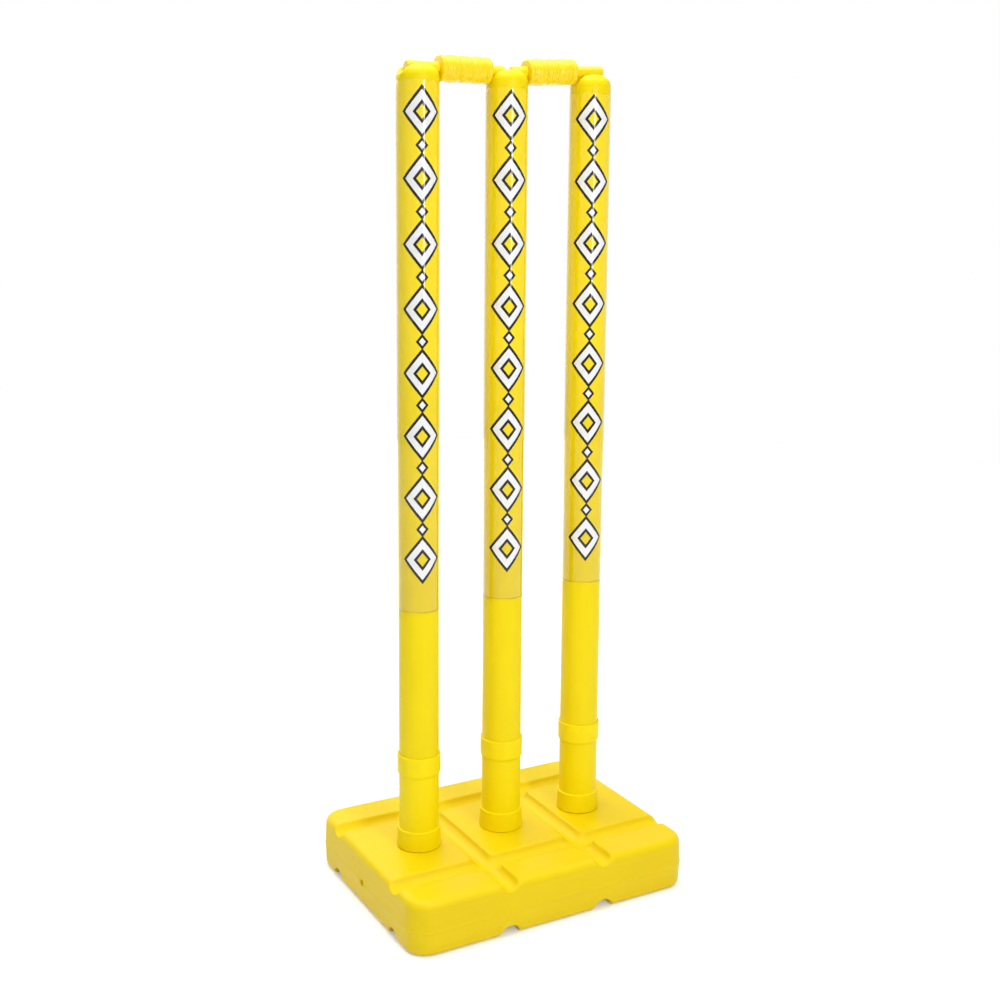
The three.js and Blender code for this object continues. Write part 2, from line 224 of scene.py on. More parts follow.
# The print: upright columns of large lozenges, the second column half a row off the first, with a
# small lozenge midway between two large ones. Sizes are half width and half height.
PRINT_COLUMNS, ROW_PITCH = 2, 56
COLUMN_ARC = 2 * pi * FILM_OUTER / PRINT_COLUMNS
LARGE_LOZENGE, SMALL_LOZENGE = (18, 22.5), (5.8, 7)
PRINT_LOW, PRINT_HIGH = 261, 683  # above the base: a lozenge is printed if its middle is between
# Each ink covers a band of a large lozenge and the middle of a small one, both given as shares of
# the way from the lozenge's middle to its edge. The white lies over the black.
INK_BAND, SMALL_INK, BLACK_INK = (0.28, 1.0), 1.0, "#040506"
WHITE_BAND, SMALL_WHITE, WHITE_INK = (0.45, 0.83), 0.52, "#EFEFF0"
INK_HEIGHT = 0.01
OFF_THE_PRINT = 2  # a share past every band

# The film itself. Its haze and ripples are as wide as they are on such sleeves.
# Painted shade: the film's upper yellow, and the duller yellow that is painted lower down where
# less light reaches
UPPER_FILM, SHADED_LOWER_FILM, DARKER_EDGE_FILM = "#FCE008", "#E3C80A", "#C79A1E"
SHADE_STARTS, SHADE_FULL = 480, 250  # heights above the base
SHADE_SHARE, HAZE_SHARE = 0.85, 0.15
BROWN_FADES_FROM, BROWN_GONE, DARKER_EDGE_SHARE = 0.2, 1.3, 0.8  # heights above the lower cut, share
HAZE_SIZE, RIPPLE_SIZE, RIPPLE_DRAWN_OUT = 40, 14, (1, 1, 0.12)
GLOSS_RIPPLE_DEPTH, COLOUR_RIPPLE_DEPTH = 0.05, 0.03


def printed_film():
    """Shrink film: a thin hard gloss over a milkier yellow, with white ink edged in black.

    Its gloss gives the eye narrow, slightly rippled highlights along the tube.
    """
    material, tree, where = new_finish("glossy_printed_shrink_film")

    # Where a point lies on the unrolled film: round it, above the base, and above its lower cut
    unrolled = add(tree, "ShaderNodeAttribute", attribute_name="unrolled")["Vector"]
    round_film, height, above_cut = add(tree, "ShaderNodeSeparateXYZ", {0: unrolled})
    turns = add(tree, "ShaderNodeMath", {0: round_film, 1: COLUMN_ARC}, operation="DIVIDE")
    column = add(tree, "ShaderNodeMath", {0: turns[0]}, operation="ROUND")
    off_column = add(tree, "ShaderNodeMath", {0: turns[0], 1: column[0]}, operation="SUBTRACT")
    across = add(tree, "ShaderNodeMath", {0: off_column[0], 1: COLUMN_ARC}, operation="MULTIPLY")
    climb = add(tree, "ShaderNodeMath", {0: column[0], 1: ROW_PITCH / PRINT_COLUMNS, 2: height},
                operation="MULTIPLY_ADD")

    def lozenges(half_width, half_height, raised):
        """The share of the way from a lozenge's middle to its edge, or OFF_THE_PRINT and more."""
        along = add(tree, "ShaderNodeMath", {0: climb[0], 1: raised}, operation="ADD")
        along = add(tree, "ShaderNodeMath", {0: along[0], 1: ROW_PITCH / 2, 2: -ROW_PITCH / 2},
                    operation="WRAP")
        wide = add(tree, "ShaderNodeMath", {0: across[0], 1: 1 / half_width}, operation="MULTIPLY")
        tall = add(tree, "ShaderNodeMath", {0: along[0], 1: 1 / half_height}, operation="MULTIPLY")
        wide = add(tree, "ShaderNodeMath", {0: wide[0]}, operation="ABSOLUTE")
        tall = add(tree, "ShaderNodeMath", {0: tall[0]}, operation="ABSOLUTE")
        out = add(tree, "ShaderNodeMath", {0: wide[0], 1: tall[0]}, operation="ADD")
        middle = add(tree, "ShaderNodeMath", {0: height, 1: along[0]}, operation="SUBTRACT")
        printed = add(tree, "ShaderNodeMath", {
            0: middle[0], 1: (PRINT_LOW + PRINT_HIGH) / 2, 2: (PRINT_HIGH - PRINT_LOW) / 2},
            operation="COMPARE")
        bare = add(tree, "ShaderNodeMath", {0: 1, 1: printed[0]}, operation="SUBTRACT")
        return add(tree, "ShaderNodeMath", {0: bare[0], 1: OFF_THE_PRINT, 2: out[0]},
                   operation="MULTIPLY_ADD")[0]

    large = lozenges(*LARGE_LOZENGE, 0)
    small = lozenges(*SMALL_LOZENGE, ROW_PITCH / 2)

    def ink(band, small_reach):
        """1 where the ink lies, and 0 elsewhere."""
        inner, outer = band
        small_one = add(tree, "ShaderNodeMath", {0: small, 1: small_reach}, operation="LESS_THAN")
        large_one = add(tree, "ShaderNodeMath", {
            0: large, 1: (inner + outer) / 2, 2: (outer - inner) / 2}, operation="COMPARE")
        return add(tree, "ShaderNodeMath", {0: small_one[0], 1: large_one[0]},
                   operation="MAXIMUM")[0]

    inked, white = ink(INK_BAND, SMALL_INK), ink(WHITE_BAND, SMALL_WHITE)

    haze = add(tree, "ShaderNodeTexNoise", {"Vector": where, "Scale": 1 / (HAZE_SIZE * MM)})
    along_tube = add(tree, "ShaderNodeMapping", {"Vector": where, "Scale": RIPPLE_DRAWN_OUT})
    ripple = add(tree, "ShaderNodeTexNoise", {
        "Vector": along_tube["Vector"], "Scale": 1 / (RIPPLE_SIZE * MM), "Detail": 1})
    hazy = add(tree, "ShaderNodeMapRange", {
        "Value": haze[0], "From Min": NOISE_LOW, "From Max": NOISE_HIGH})
    uneven = add(tree, "ShaderNodeMapRange", {
        "Value": haze[0], "From Min": NOISE_LOW, "From Max": NOISE_HIGH,
        "To Min": 0.34, "To Max": 0.44})
    # Painted shade: lower down, the film's yellow is painted duller, as less light reaches it there
    shade_and_haze = add(tree, "ShaderNodeMapRange", {
        "Value": height, "From Min": SHADE_STARTS, "From Max": SHADE_FULL, "To Max": SHADE_SHARE})
    shade_and_haze = add(tree, "ShaderNodeMath", {0: hazy[0], 1: HAZE_SHARE, 2: shade_and_haze[0]},
                operation="MULTIPLY_ADD")
    film = add(tree, "ShaderNodeMix", {
        0: shade_and_haze[0], 6: linear(UPPER_FILM), 7: linear(SHADED_LOWER_FILM)}, data_type="RGBA")
    # The lowest millimetre of film above its lower cut is painted darker and browner. The upper cut
    # fades into the dome.
    cut = add(tree, "ShaderNodeMapRange", {
        "Value": above_cut, "From Min": BROWN_FADES_FROM, "From Max": BROWN_GONE,
        "To Min": DARKER_EDGE_SHARE, "To Max": 0})
    for share, colour in ((cut[0], DARKER_EDGE_FILM), (inked, BLACK_INK), (white, WHITE_INK)):
        film = add(tree, "ShaderNodeMix", {0: share, 6: film[2], 7: linear(colour)},
                   data_type="RGBA")
    # The ink stands proud of the film, and the film follows the tube in shallow ripples
    ink_edge = add(tree, "ShaderNodeBump", {"Height": inked, "Distance": INK_HEIGHT * MM})
    rippled = add(tree, "ShaderNodeBump", {
        "Height": ripple[0], "Distance": GLOSS_RIPPLE_DEPTH * MM})
    both = add(tree, "ShaderNodeBump", {
        "Height": ripple[0], "Distance": COLOUR_RIPPLE_DEPTH * MM, "Normal": ink_edge[0]})
    shader = add(tree, "ShaderNodeBsdfPrincipled", {
        "Base Color": film[2], "Roughness": uneven[0], "Normal": both[0],
        "IOR": 1.5, "Specular IOR Level": 0.06,
        "Coat Weight": 1, "Coat Roughness": 0.05, "Coat IOR": 1.38, "Coat Normal": rippled[0]})
    add(tree, "ShaderNodeOutputMaterial", {"Surface": shader[0]})
    return material


# Meshes
def new_piece(name, points, faces, normals, material):
    """A closed smooth mesh from points in millimetres, with its surface's own normals."""
    mesh = bpy.data.meshes.new(name)
    mesh.from_pydata((np.asarray(points) * MM).tolist(), [], [list(map(int, f)) for f in faces])
    mesh.materials.append(material)
    mesh.shade_smooth()
    mesh.normals_split_custom_set_from_vertices(np.asarray(normals).tolist())
    piece = bpy.data.objects.new(name, mesh)
    bpy.context.collection.objects.link(piece)
    return piece


def dress(node, piece):
    """The piece stands for a CAD node and moves with that node's body."""
    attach(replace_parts(piece, node), NODE_BODY[node])


def smooth_max(a, b, ease):
    """The larger of a and b, with the corner between them rounded over about ease."""
    near = np.maximum(ease - np.abs(a - b), 0) / ease
    return np.maximum(a, b) + near * near * ease / 4


def slope(field, points, reach=0.01):
    """How fast a field grows along x, y and z at each point."""
    steps = np.eye(3) * reach
    return np.stack([(field(points + s) - field(points - s)) / (2 * reach) for s in steps], 1)


def settle(points, field, rounds=10):
    """Moves points on to the surface where field is 0, and gives that surface's normals."""
    for _ in range(rounds):
        steep = slope(field, points)
        points = points - (field(points) / np.maximum((steep**2).sum(1), 1e-6))[:, None] * steep
    steep = slope(field, points)
    return points, steep / np.linalg.norm(steep, axis=1)[:, None]


def arc(centre, radius, start, end, steps):
    """Points of an arc in (radius, height), its angles from straight up towards the outside."""
    return [(centre[0] + radius * sin(a), centre[1] + radius * cos(a))
            for a in np.linspace(start, end, steps + 1)]


LARGEST_CORNER = 0.48  # how much of a side one corner's arc may take


def eased(corners, steps=4, closed=True):
    """An outline of (radius, height, rounding) corners, with an arc at each corner."""
    points = []
    count = len(corners)
    for i, (r, z, rounding) in enumerate(corners):
        here = np.array((r, z), float)
        if rounding == 0 or (not closed and i in (0, count - 1)):
            points.append(here)
            continue
        before = np.array(corners[i - 1][:2], float) - here
        after = np.array(corners[(i + 1) % count][:2], float) - here
        room = LARGEST_CORNER * min(np.linalg.norm(before), np.linalg.norm(after))
        before, after = before / np.linalg.norm(before), after / np.linalg.norm(after)
        half = np.arccos(np.clip(before @ after, -1, 1)) / 2
        reach = min(rounding / tan(half), room)
        radius = reach * tan(half)
        inwards = (before + after) / np.linalg.norm(before + after)
        centre = here + inwards * hypot(reach, radius)
        first, last = here + before * reach - centre, here + after * reach - centre
        turn = np.arccos(np.clip(first @ last / radius**2, -1, 1))
        for k in range(steps + 1):
            t = k / steps
            points.append(centre + (sin((1 - t) * turn) * first + sin(t * turn) * last) / sin(turn))
    return np.array(points)


def outline_normals(outline, closed):
    """Outward normals along an outline.

    Each side counts by its length, so that long walls stay straight.
    """
    sides = np.roll(outline, -1, 0) - outline
    if not closed:
        sides[-1] = 0
    out = np.stack([sides[:, 1], -sides[:, 0]], 1)
    both = out + np.roll(out, 1, 0)
    return both / np.maximum(np.linalg.norm(both, axis=1), 1e-9)[:, None]


def turned(outline, segments, closed=True):
    """Points, faces and normals of an outline turned about Z.

    The outline runs anticlockwise in (radius, height). An open one starts and ends on the axis.
    """
    points, faces, normals, rings = [], [], [], []
    angles = np.arange(segments) * 2 * pi / segments
    for (r, z), (nr, nz) in zip(outline, outline_normals(outline, closed)):
        if r < 1e-6:
            rings.append([len(points)] * segments)
            points.append((0, 0, z))
            normals.append((0, 0, 1 if nz > 0 else -1))
            continue
        rings.append(list(range(len(points), len(points) + segments)))
        points += [(r * cos(a), r * sin(a), z) for a in angles]
        normals += [(nr * cos(a), nr * sin(a), nz) for a in angles]
    loops = list(zip(rings, rings[1:] + rings[:1])) if closed else list(zip(rings, rings[1:]))
    for low, high in loops:
        for i in range(segments):
            j = (i + 1) % segments
            face = [low[i], low[j], high[j], high[i]]
            faces.append([v for n, v in enumerate(face) if v not in face[:n]])
    return np.array(points), faces, np.array(normals)


# Base
def channel(width, depth, face, outward):
    """Radius and axis height of a round-bottomed channel across one face."""
    radius = ((width / 2) ** 2 + depth**2) / (2 * depth)
    return radius, face + outward * (radius - depth)


TOP_CHANNELS = channel(TOP_CHANNEL_WIDTH, TOP_CHANNEL_DEPTH, BASE_HEIGHT, 1)
BOTTOM_CHANNELS = channel(BOTTOM_CHANNEL_WIDTH, BOTTOM_CHANNEL_DEPTH, 0, -1)


def filleted(a, b, radius):
    """Where two sides meet in an exact round of that radius."""
    a, b = a + radius, b + radius
    return np.hypot(np.maximum(a, 0), np.maximum(b, 0)) + np.minimum(np.maximum(a, b), 0) - radius


def drafted_radius(z):
    """The outline's corner radius at a height: largest at the parting line, with its fine ridge."""
    reach = np.where(z < PARTING_HEIGHT, PARTING_HEIGHT, BASE_HEIGHT - PARTING_HEIGHT)
    ridge = RIDGE_HEIGHT * np.exp(-(((z - PARTING_HEIGHT) / RIDGE_WIDTH) ** 2))
    return CORNER_RADIUS - DRAFT_INSET * np.abs(z - PARTING_HEIGHT) / reach + ridge


def wall_sink(x, y, z):
    """How far the wall has sunk as it cooled: waves 80 to 200 mm long, none at the lower fillet."""
    short = SHORT_SINK * np.sin(x / 17 + 1.3) * np.sin(y / 21 + 0.4)
    long = LONG_SINK * np.sin(x / 31 + z / 13 + 2.0) * np.cos(y / 29)
    return (short + long) * np.clip((z - BOTTOM_FILLET) / SINK_START, 0, 1)


def channels_field(p, radius, axis):
    """Outside the two long and the two cross channels of one face."""
    x, y, z = p.T
    along = np.minimum(*[np.hypot(y - s * LONG_CHANNEL, z - axis) for s in (-1, 1)]) - radius
    across = np.minimum(*[np.hypot(x - s * CROSS_CHANNEL, z - axis) for s in (-1, 1)]) - radius
    return -smooth_max(-along, -across, CROSSING_ROUND)


def base_field(p):
    """About how far a point lies outside the base's surface."""
    x, y, z = p.T
    dx, dy = np.abs(x) - CORE_LENGTH, np.abs(y) - CORE_WIDTH
    side = np.hypot(np.maximum(dx, 0), np.maximum(dy, 0)) + np.minimum(np.maximum(dx, dy), 0)
    side = side - drafted_radius(z)
    solid = np.maximum(filleted(side, z - BASE_HEIGHT, TOP_FILLET),
                       filleted(side, -z, BOTTOM_FILLET))
    solid = solid + wall_sink(x, y, z) + EVEN_SINK
    solid = smooth_max(solid, -channels_field(p, *TOP_CHANNELS), TOP_CHANNEL_LIP)
    solid = smooth_max(solid, -channels_field(p, *BOTTOM_CHANNELS), BOTTOM_CHANNEL_LIP)
    # A small dent near the top of the left end
    u, v, w = [(at - middle) / reach for at, middle, reach in zip(p.T, DENT_MIDDLE, DENT_REACH)]
    solid = solid + DENT_DEPTH * np.exp(-(u**2) - v**2 - w**2)
    for stump in STUMPS.values():
        well = np.maximum(np.hypot(x - stump, y) - WELL_RADIUS, WELL_FLOOR - z)
        solid = smooth_max(solid, -well, WELL_LIP)
    off = np.hypot(y - BLOW_HOLE_Y, z - PARTING_HEIGHT)
    left_end = np.clip((RIM_FADES_FROM - x) / RIM_FADES_OVER, 0, 1)
    solid = solid - RIM_HEIGHT * left_end * np.exp(-(((off - RIM_RADIUS) / RIM_WIDTH) ** 2))
    hole = np.maximum(off - BLOW_HOLE_RADIUS, x + BASE_LENGTH / 2 - BLOW_HOLE_DEPTH)
    return smooth_max(solid, -hole, BLOW_HOLE_LIP)


def mirrored(half):
    """Numbers from 0 up, with their negatives before them."""
    return [-v for v in reversed(half) if v] + list(half)


def steps_between(start, end, count):
    """Even steps after start, as far as end."""
    return [start + (end - start) * i / count for i in range(1, count + 1)]


# Grid lines of the base: close together over a channel's lips
ACROSS_CHANNEL = mirrored([0, 2, 4, 6, 7.4, 8.4, 9.1, 9.7, 10.2, 10.6, 11, 11.6, 12.6, 14])
GRID_X = [0, *steps_between(0, 24, 6), 28.2, 32, *[CROSS_CHANNEL + o for o in ACROSS_CHANNEL],
          *steps_between(64, 112, 12), 116, 120, CORE_LENGTH]
GRID_Y = [0, *steps_between(0, 24, 6), 28.5, 33, 38, 42.5, 46,
          *[LONG_CHANNEL + o for o in ACROSS_CHANNEL], 80, 84, CORE_WIDTH]
CORNER_STRIP = [0.25, 0.5, 0.75, 1.0]  # shares of the way from the straight core to the rim
SIDE_HEIGHTS = [42.3, 41, 39.5, 37.5, 35, 32, 29.5, 27, 25.2, 24.4, 23.9, 23.5, 23.1, 22.6, 21.8,
                20, 17.5, 15, 13.2, 12, 11, 10.3, 9.7, 9.1, 8.3, 7.2]
FILLET_STEPS = 8

# Rings of (radius, depth) down each hole, and half the width and the thickness of the square patch
# of faces that it replaces
WELL_RINGS = [(21.2, 0), (19.2, 0), (18.4, 0.02), (17.9, 0.15), (17.6, 0.5),
              *[(WELL_RADIUS, depth) for depth in (1.2, 6, 16, 26, 33.3)],
              (17.2, 34.1), (16.4, 34.3), (11, 34.3), (5, 34.3)]
BLOW_HOLE_RINGS = [(5.4, 0), (4.7, -0.2), (4.2, -0.4), (3.8, -0.4), (3.4, -0.2), (3.1, 0),
                   (2.85, 0.3), *[(BLOW_HOLE_RADIUS, depth) for depth in (0.8, 3, 8, 11.5)],
                   (2.5, 12), (1.2, 12)]
WELL_PATCH, BLOW_HOLE_PATCH = 24, 6
PATCH_THICKNESS = 3


def sink(points, faces, chosen, centre, across, up, rings):
    """Takes out the chosen faces and puts a round hole there, with rings and a fan at its end."""
    edges = {(a, b) for f in chosen for a, b in zip(f, f[1:] + f[:1])}
    after = {a: b for a, b in edges if (b, a) not in edges}
    loop = [min(after)]
    while after[loop[-1]] != loop[0]:
        loop.append(after[loop[-1]])
    taken = {tuple(f) for f in chosen}
    faces = [f for f in faces if tuple(f) not in taken]
    centre, across, up = (np.array(v, float) for v in (centre, across, up))
    inward = -np.cross(across, up)
    where = [points[v] - centre for v in loop]
    angles = [atan2(w @ up, w @ across) for w in where]
    for radius, depth in rings:
        ring = list(range(len(points), len(points) + len(loop)))
        points = points + [centre + radius * (cos(a) * across + sin(a) * up) + depth * inward
                           for a in angles]
        faces += [[a, b, d, c]
                  for a, b, c, d in zip(loop, loop[1:] + loop[:1], ring, ring[1:] + ring[:1])]
        loop = ring
    points = points + [centre + rings[-1][1] * inward]
    faces += [[a, b, len(points) - 1] for a, b in zip(loop, loop[1:] + loop[:1])]
    return points, faces


def base_grid():
    """The plain rounded block: a grid over each face and rings down the sides."""
    def lines(grid, core):
        """Each line's place on the straight core, and its share of the way on to the rim."""
        return ([(-core, -t) for t in reversed(CORNER_STRIP)] + [(g, 0) for g in mirrored(grid)]
                + [(core, t) for t in CORNER_STRIP])

    columns, rows = lines(GRID_X, CORE_LENGTH), lines(GRID_Y, CORE_WIDTH)
    nx, ny = len(columns), len(rows)

    def spot(i, j, radius, z):
        """A grid point, the square of each corner being pressed into a quarter disc."""
        (a, u), (b, v) = columns[i], rows[j]
        return np.array((a + radius * u * sqrt(1 - v * v / 2),
                         b + radius * v * sqrt(1 - u * u / 2), z))

    rim = ([(i, 0) for i in range(nx)] + [(nx - 1, j) for j in range(1, ny)]
           + [(i, ny - 1) for i in range(nx - 2, -1, -1)] + [(0, j) for j in range(ny - 2, 0, -1)])
    top_radius = CORNER_RADIUS - DRAFT_INSET - TOP_FILLET
    bottom_radius = CORNER_RADIUS - DRAFT_INSET - BOTTOM_FILLET
    quarter = np.arange(1, FILLET_STEPS + 1) / FILLET_STEPS * pi / 2
    levels = [(top_radius + TOP_FILLET * sin(a), BASE_HEIGHT - TOP_FILLET * (1 - cos(a)))
              for a in quarter]
    levels += [(float(drafted_radius(np.array(z))), z) for z in SIDE_HEIGHTS]
    levels += [(bottom_radius + BOTTOM_FILLET * sin(a), BOTTOM_FILLET * (1 - cos(a)))
               for a in quarter[::-1]]
    levels.append((bottom_radius, 0))

    points = [spot(i, j, top_radius, BASE_HEIGHT) for i in range(nx) for j in range(ny)]
    faces = [[i * ny + j, (i + 1) * ny + j, (i + 1) * ny + j + 1, i * ny + j + 1]
             for i in range(nx - 1) for j in range(ny - 1)]
    above = [i * ny + j for i, j in rim]
    for radius, z in levels:
        below = list(range(len(points), len(points) + len(rim)))
        points += [spot(i, j, radius, z) for i, j in rim]
        faces += [[a, c, d, b]
                  for a, b, c, d in zip(above, above[1:] + above[:1], below, below[1:] + below[:1])]
        above = below
    # The underside's grid goes inside the last ring
    index = dict(zip(rim, above))
    for i in range(1, nx - 1):
        for j in range(1, ny - 1):
            index[i, j] = len(points)
            points.append(spot(i, j, bottom_radius, 0))
    faces += [[index[i, j], index[i, j + 1], index[i + 1, j + 1], index[i + 1, j]]
              for i in range(nx - 1) for j in range(ny - 1)]
    return points, faces


def build_base(material):
    """The moulded block with its wells, blow hole and channels."""
    points, faces = base_grid()
    holes = [((x, 0, BASE_HEIGHT), (1, 0, 0), (0, 1, 0), WELL_RINGS, WELL_PATCH)
             for x in STUMPS.values()]
    holes.append(((-BASE_LENGTH / 2, BLOW_HOLE_Y, PARTING_HEIGHT), (0, -1, 0), (0, 0, 1),
                  BLOW_HOLE_RINGS, BLOW_HOLE_PATCH))
    for centre, across, up, rings, patch in holes:
        middles = np.array([sum(points[v] for v in face) / len(face) for face in faces]) - centre
        near = np.abs(middles @ np.array((across, up)).T).max(1) < patch
        near &= np.abs(middles @ np.cross(across, up)) < PATCH_THICKNESS
        chosen = [faces[n] for n in np.flatnonzero(near)]
        points, faces = sink(points, faces, chosen, centre, across, up, rings)
    points = np.array(points)
    # Points over a channel start from its floor, and then all of them settle on the surface
    for (radius, axis), outward in ((TOP_CHANNELS, 1), (BOTTOM_CHANNELS, -1)):
        for line, offset in ((1, LONG_CHANNEL), (0, CROSS_CHANNEL)):
            off = np.abs(np.abs(points[:, line]) - offset)
            floor = axis - outward * np.sqrt(np.maximum(radius**2 - off**2, 0))
            past_floor = (points[:, 2] - floor) * outward > 0
            inside = (off < radius) & past_floor & (np.abs(points[:, 2] - axis) < radius)
            points[inside, 2] = floor[inside]
    points, normals = settle(points, base_field)
    return new_piece("base_block", points, faces, normals, material)


# Feet
FOOT_CORNERS = [  # (radius, height above the base's top, rounding)
    (14.6, -34, 0.4), (17.2, -34, 1.0), (17.2, 0.3, 0.2),  # spigot, from its open end up
    (20.7, 0.3, 0.5), (20.05, 18.6, 0.9), (TUBE_RADIUS, 18.6, 0.25),  # ring
    (TUBE_RADIUS, 71.3, 0.15), (19.05, 71.3, 0.15), (20.15, 73.5, 1.5),  # short tube, and the bell
    (20.2, 91, 0.7), (18.8, 91, 0.3), (18.8, 73.5, 0.3),  # the bell's mouth and its floor
    (BORE_RADIUS, 73.5, 0.3), (BORE_RADIUS, 0, 0.5), (14.6, -2.6, 0.5),  # bore, down to the spigot
]
FOOT_SEGMENTS = 96


def build_foot(side, material):
    """A moulded foot: spigot, ring, short tube and bell."""
    outline = eased([(r, BASE_HEIGHT + h, rounding) for r, h, rounding in FOOT_CORNERS], steps=5)
    points, faces, normals = turned(outline, FOOT_SEGMENTS)
    return new_piece(f"foot_{side}_moulding", points + (STUMPS[side], 0, 0), faces, normals,
                     material)


# Stumps
TUBE_SEGMENTS, EDGE_STEPS, CROWN_STEPS = 160, 26, 22
CEILING_RADIUS, BORE_TAPER = 9, 2.6
WALL_STATIONS = (8, 5, 2.5, 1)  # below the dome


def dome_field(p):
    """Outside the domed top with its U-shaped bail groove."""
    x, y, z = p.T
    r = np.hypot(x, y)
    on_crown = r * (EDGE_CENTRE - CROWN_CENTRE) < DOME_EDGE * (z - CROWN_CENTRE)
    crown = np.hypot(r, z - CROWN_CENTRE) - DOME_CROWN_RADIUS
    edge = np.where(z > EDGE_CENTRE, np.hypot(r - DOME_EDGE, z - EDGE_CENTRE) - DOME_EDGE_RADIUS,
                    r - TUBE_RADIUS)
    off_groove = np.hypot(y, np.minimum(z - BAIL_AXIS, 0))
    return smooth_max(np.where(on_crown, crown, edge), GROOVE_RADIUS - off_groove, GROOVE_LIP)


def build_stump(side, material):
    """The tube with its plug below, and its dome with the groove let into it."""
    below = eased([
        (0, DOME_CEILING, 0), (CEILING_RADIUS, DOME_CEILING, 2), (BORE_RADIUS, EDGE_CENTRE, 2),
        (BORE_RADIUS, SHOULDER + BORE_TAPER, 0.5), (PLUG_BORE, SHOULDER, 0.5),
        (PLUG_BORE, PLUG_END, 0.5), (PLUG_RADIUS, PLUG_END, 0.8), (PLUG_RADIUS, SHOULDER, 0.2),
        (TUBE_RADIUS, SHOULDER, 0.5), (TUBE_RADIUS, EDGE_CENTRE - WALL_STATIONS[0], 0)],
        closed=False)
    wall = [(TUBE_RADIUS, EDGE_CENTRE - drop) for drop in WALL_STATIONS[1:]]
    edge = arc((DOME_EDGE, EDGE_CENTRE), DOME_EDGE_RADIUS, pi / 2, CROWN_LEAN, EDGE_STEPS)
    crown = arc((0, CROWN_CENTRE), DOME_CROWN_RADIUS, CROWN_LEAN, 0, CROWN_STEPS)[1:]
    outline = np.array([*below, *wall, *edge, *crown])
    points, faces, normals = turned(outline, TUBE_SEGMENTS, closed=False)
    # The dome's own points: whole rings, and the one point at the top
    dome_points = TUBE_SEGMENTS * (len(wall) + len(edge) + len(crown) - 1) + 1
    outside = np.arange(len(points)) >= len(points) - dome_points
    floor = BAIL_AXIS - np.sqrt(np.maximum(GROOVE_RADIUS**2 - points[:, 1] ** 2, 0))
    drop = outside & (np.abs(points[:, 1]) < GROOVE_RADIUS) & (points[:, 2] > floor)
    points[drop, 2] = floor[drop]
    points[outside], normals[outside] = settle(points[outside], dome_field)
    return new_piece(f"stump_{side}_tube", points + (STUMPS[side], 0, 0), faces, normals, material)


# Sleeves
FILM_SEGMENTS = 144
FILM_STATIONS = [0, 0.15, 0.5, 1.2, 2.5, 5, 12]  # in from a cut end
FILM_MIDDLE_STATIONS, FILM_MIDDLE_START = 12, 30
CUT_WANDER, CUT_WOBBLE, CUT_REACH = 0.3, 0.15, 6  # the knife's slow and quick swings
CUT_FLARE, FLARE_REACH, INNER_SHARE = 0.12, 1.2, 0.5  # the inner side flares less
SEAM_ANGLE = radians(62)  # the film's welded seam, on the side away from the photograph
SEAM_HALF_WIDTH, SEAM_STEP, SEAM_HEIGHT = radians(7), radians(1.5), 0.16
# Where the first column of print faces
PRINT_MIDDLE = {"left": radians(-105), "middle": radians(-108), "right": radians(-112)}


def build_sleeve(side, low, high, material):
    """Shrink film: a thin closed tube with ends cut by hand, slightly flared, and a welded seam."""
    heights = [low + s for s in FILM_STATIONS]
    heights += list(np.linspace(low + FILM_MIDDLE_START, high - FILM_MIDDLE_START,
                                FILM_MIDDLE_STATIONS))
    heights += [high - s for s in reversed(FILM_STATIONS)]
    outline = [(FILM_OUTER, h) for h in heights] + [(FILM_INNER, h) for h in reversed(heights)]
    points, faces, normals = turned(np.array(outline), FILM_SEGMENTS)
    angle = np.arctan2(points[:, 1], points[:, 0])
    radius = np.hypot(points[:, 0], points[:, 1])
    outer = radius > (FILM_INNER + FILM_OUTER) / 2
    inwards = np.minimum(points[:, 2] - low, high - points[:, 2])
    # The stump's own place sets the phase, so that no two sleeves are cut alike
    wander = (CUT_WANDER * np.sin(2 * angle + STUMPS[side])
              + CUT_WOBBLE * np.sin(5 * angle + 2 * STUMPS[side]))
    points[:, 2] += wander * np.exp(-inwards / CUT_REACH)
    flare = CUT_FLARE * np.exp(-inwards / FLARE_REACH)
    off_seam = np.abs((angle - SEAM_ANGLE + pi) % (2 * pi) - pi)
    seam = SEAM_HEIGHT * np.clip((SEAM_HALF_WIDTH - off_seam) / SEAM_STEP, 0, 1)
    grown = np.where(outer, flare + seam, flare * INNER_SHARE)
    points[:, :2] *= (1 + grown / radius)[:, None]
    piece = new_piece(f"sleeve_{side}_film", points + (STUMPS[side], 0, 0), faces, normals,
                      material)
    # The print is laid out on the unrolled film. The inner side's height keeps the print off it.
    turn = (angle - PRINT_MIDDLE[side] + pi) % (2 * pi) - pi
    height = np.where(outer, points[:, 2] - BASE_HEIGHT, 0)
    above_cut = points[:, 2] - low
    places = []
    for face in piece.data.polygons:
        corners = list(face.vertices)
        joins = turn[corners].max() - turn[corners].min() > pi
        for v in corners:
            round_film = turn[v] + (2 * pi if joins and turn[v] < 0 else 0)
            places += [round_film * FILM_OUTER, height[v], above_cut[v]]
    unrolled = piece.data.attributes.new("unrolled", "FLOAT_VECTOR", "CORNER")
    unrolled.data.foreach_set("vector", places)
    return piece


# Bails
WAIST_RADIUS = 10.55
# (middle, half width, height, fullness) of the bead, the bulges and the end rings
SWELLS = [(0, 4.9, 0.95, 5), (12.7, 6.7, 1.15, 3), (23.4, 3.6, 0.9, 6)]
# (place, height)
FINE_LINES = [(2.2, -0.25), (8.6, 0.15), (10.4, -0.25), (13.4, 0.18), (15.4, -0.25), (22.6, 0.15)]
LINE_WIDTH, RING_ROUND = 0.35, 2
SPIGOT_STRAIGHT = 4  # from the tip to the first ring of the straight part
BAIL_SEGMENTS, BARREL_STATIONS, TIP_STEPS, ROOT_STEPS = 80, 220, 6, 4


